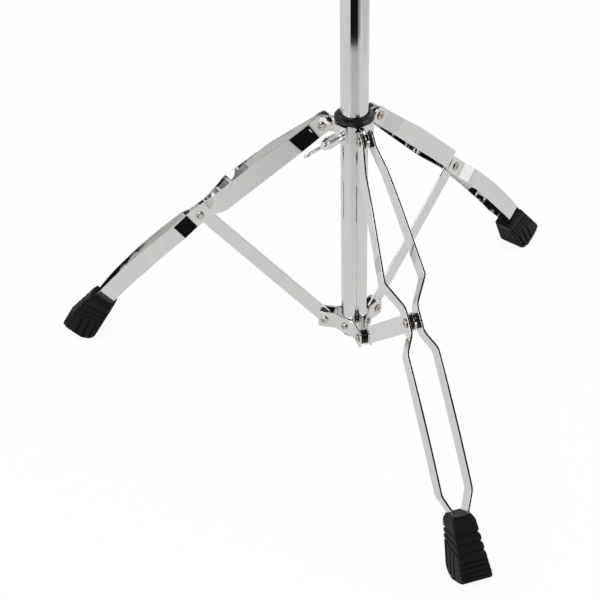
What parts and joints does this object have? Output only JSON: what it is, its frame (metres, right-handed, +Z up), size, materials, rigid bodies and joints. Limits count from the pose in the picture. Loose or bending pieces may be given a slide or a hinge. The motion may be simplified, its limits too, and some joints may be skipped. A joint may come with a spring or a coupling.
{
  "type": "percussion pad stand",
  "caption": "Folding chromed tripod stand with double-strip legs, sliding collar, rubber feet, telescoping post and a tilting plate that carries an electronic drum pad.",
  "frame": {"origin": "middle of the footprint on the floor", "axes": "+Z up along the tube, -Y towards the front leg, +X towards the right leg's side"},
  "size_m": [0.6264, 0.5432, 0.8798],
  "materials": {
    "chrome": "bright polished plating",
    "nickel": "satin plated steel",
    "black_nylon": "moulded, slightly glossy",
    "black_rubber": "matt, ribbed",
    "black_paint": "satin powder coat"
  },
  "bodies": {
    "base": {"lower_tube": "chrome", "tube_plug": "black_nylon", "bracket_plate_front_right": "chrome", "bracket_plate_right_left": "chrome", "bracket_plate_left_front": "chrome", "bracket_bolt_front_right": "nickel", "bracket_bolt_right_left": "nickel", "bracket_bolt_left_front": "nickel", "lower_rivet_front": "nickel", "lower_rivet_right": "nickel", "lower_rivet_left": "nickel", "lower_bushing_front": "black_nylon", "lower_bushing_right": "black_nylon", "lower_bushing_left": "black_nylon", "height_clamp": "chrome", "clamp_insert": "black_nylon"},
    "stay_front": {"stay_front": "chrome"},
    "stay_right": {"stay_right": "chrome"},
    "stay_left": {"stay_left": "chrome"},
    "leg_front": {"leg_front_strip_a": "chrome", "leg_front_strip_b": "chrome", "foot_front": "black_rubber", "middle_rivet_front": "nickel", "middle_bushing_front": "black_nylon"},
    "leg_right": {"leg_right_strip_a": "chrome", "leg_right_strip_b": "chrome", "foot_right": "black_rubber", "middle_rivet_right": "nickel", "middle_bushing_right": "black_nylon"},
    "leg_left": {"leg_left_strip_a": "chrome", "leg_left_strip_b": "chrome", "foot_left": "black_rubber", "middle_rivet_left": "nickel", "middle_bushing_left": "black_nylon"},
    "collar": {"collar_ring": "black_nylon", "collar_bracket": "chrome", "collar_rivet_front": "nickel", "collar_rivet_right": "nickel", "collar_rivet_left": "nickel", "collar_bushing_front": "black_nylon", "collar_bushing_right": "black_nylon", "collar_bushing_left": "black_nylon"},
    "collar_screw": {"collar_wing_screw": "chrome"},
    "clamp_screw": {"clamp_wing_screw": "chrome"},
    "post": {"upper_tube": "chrome", "tilter_base": "chrome", "tilter_bolt": "nickel"},
    "lock_ring": {"memory_lock": "chrome"},
    "lock_screw": {"memory_lock_screw": "nickel"},
    "tilter_nut": {"tilter_wing_nut": "chrome"},
    "pad_head": {"tilter_head": "chrome", "pad_plate": "black_paint", "pad_plate_screw_right": "nickel", "pad_plate_screw_left": "nickel"}
  },
  "joints": [
    {"name": "front_stay_fold", "type": "hinge", "parent": "base", "child": "stay_front", "pos_m": [0, 0.0497, 0.06553], "axis": [-1, 0, 0], "range_deg": [0, 40]},
    {"name": "front_leg_fold", "type": "hinge", "parent": "stay_front", "child": "leg_front", "pos_m": [0, -0.08824, 0.19105], "axis": [1, 0, 0], "range_deg": [0, 80]},
    {"name": "collar_level", "type": "hinge", "parent": "leg_front", "child": "collar", "pos_m": [0, 0.0497, 0.31657], "axis": [-1, 0, 0], "range_deg": [0, 40]},
    {"name": "right_leg_fold", "type": "hinge", "parent": "collar", "child": "leg_right", "pos_m": [0.02858, 0.09921, 0.31657], "axis": [-0.5, 0.866, 0], "range_deg": [0, 40]},
    {"name": "left_leg_fold", "type": "hinge", "parent": "collar", "child": "leg_left", "pos_m": [-0.02858, 0.09921, 0.31657], "axis": [-0.5, -0.866, 0], "range_deg": [0, 40]},
    {"name": "right_stay_fold", "type": "hinge", "parent": "leg_right", "child": "stay_right", "pos_m": [0.14804, 0.16818, 0.19105], "axis": [0.5, -0.866, 0], "range_deg": [0, 80]},
    {"name": "left_stay_fold", "type": "hinge", "parent": "leg_left", "child": "stay_left", "pos_m": [-0.14804, 0.16818, 0.19105], "axis": [0.5, 0.866, 0], "range_deg": [0, 80]},
    {"name": "collar_screw_turn", "type": "hinge", "parent": "collar", "child": "collar_screw", "pos_m": [-0.02598, 0.06771, 0.31357], "axis": [-0.866, -0.5, 0], "continuous": true},
    {"name": "clamp_screw_turn", "type": "hinge", "parent": "base", "child": "clamp_screw", "pos_m": [0.02598, 0.09771, 0.58203], "axis": [0.866, 0.5, 0], "continuous": true},
    {"name": "height_slide", "type": "slide", "parent": "base", "child": "post", "axis": [0, 0, 1], "range_m": [0, 0.2]},
    {"name": "lock_ring_slide", "type": "slide", "parent": "post", "child": "lock_ring", "axis": [0, 0, 1], "range_m": [0, 0.15]},
    {"name": "lock_screw_turn", "type": "hinge", "parent": "lock_ring", "child": "lock_screw", "pos_m": [-0.01212, 0.0897, 0.59583], "axis": [-0.866, 0.5, 0], "continuous": true},
    {"name": "pad_tilt", "type": "hinge", "parent": "post", "child": "pad_head", "pos_m": [0, 0.08271, 0.84253], "axis": [1, 0, 0], "range_deg": [-20, 60]},
    {"name": "tilter_nut_turn", "type": "hinge", "parent": "post", "child": "tilter_nut", "pos_m": [0.015, 0.08271, 0.84253], "axis": [1, 0, 0], "continuous": true}
  ],
  "couplings": [
    {"joint": "front_leg_fold", "follows": "front_stay_fold", "ratio": 2},
    {"joint": "collar_level", "follows": "front_stay_fold", "ratio": 1},
    {"joint": "right_leg_fold", "follows": "front_stay_fold", "ratio": 1},
    {"joint": "left_leg_fold", "follows": "front_stay_fold", "ratio": 1},
    {"joint": "right_stay_fold", "follows": "front_stay_fold", "ratio": 2},
    {"joint": "left_stay_fold", "follows": "front_stay_fold", "ratio": 2}
  ]
}
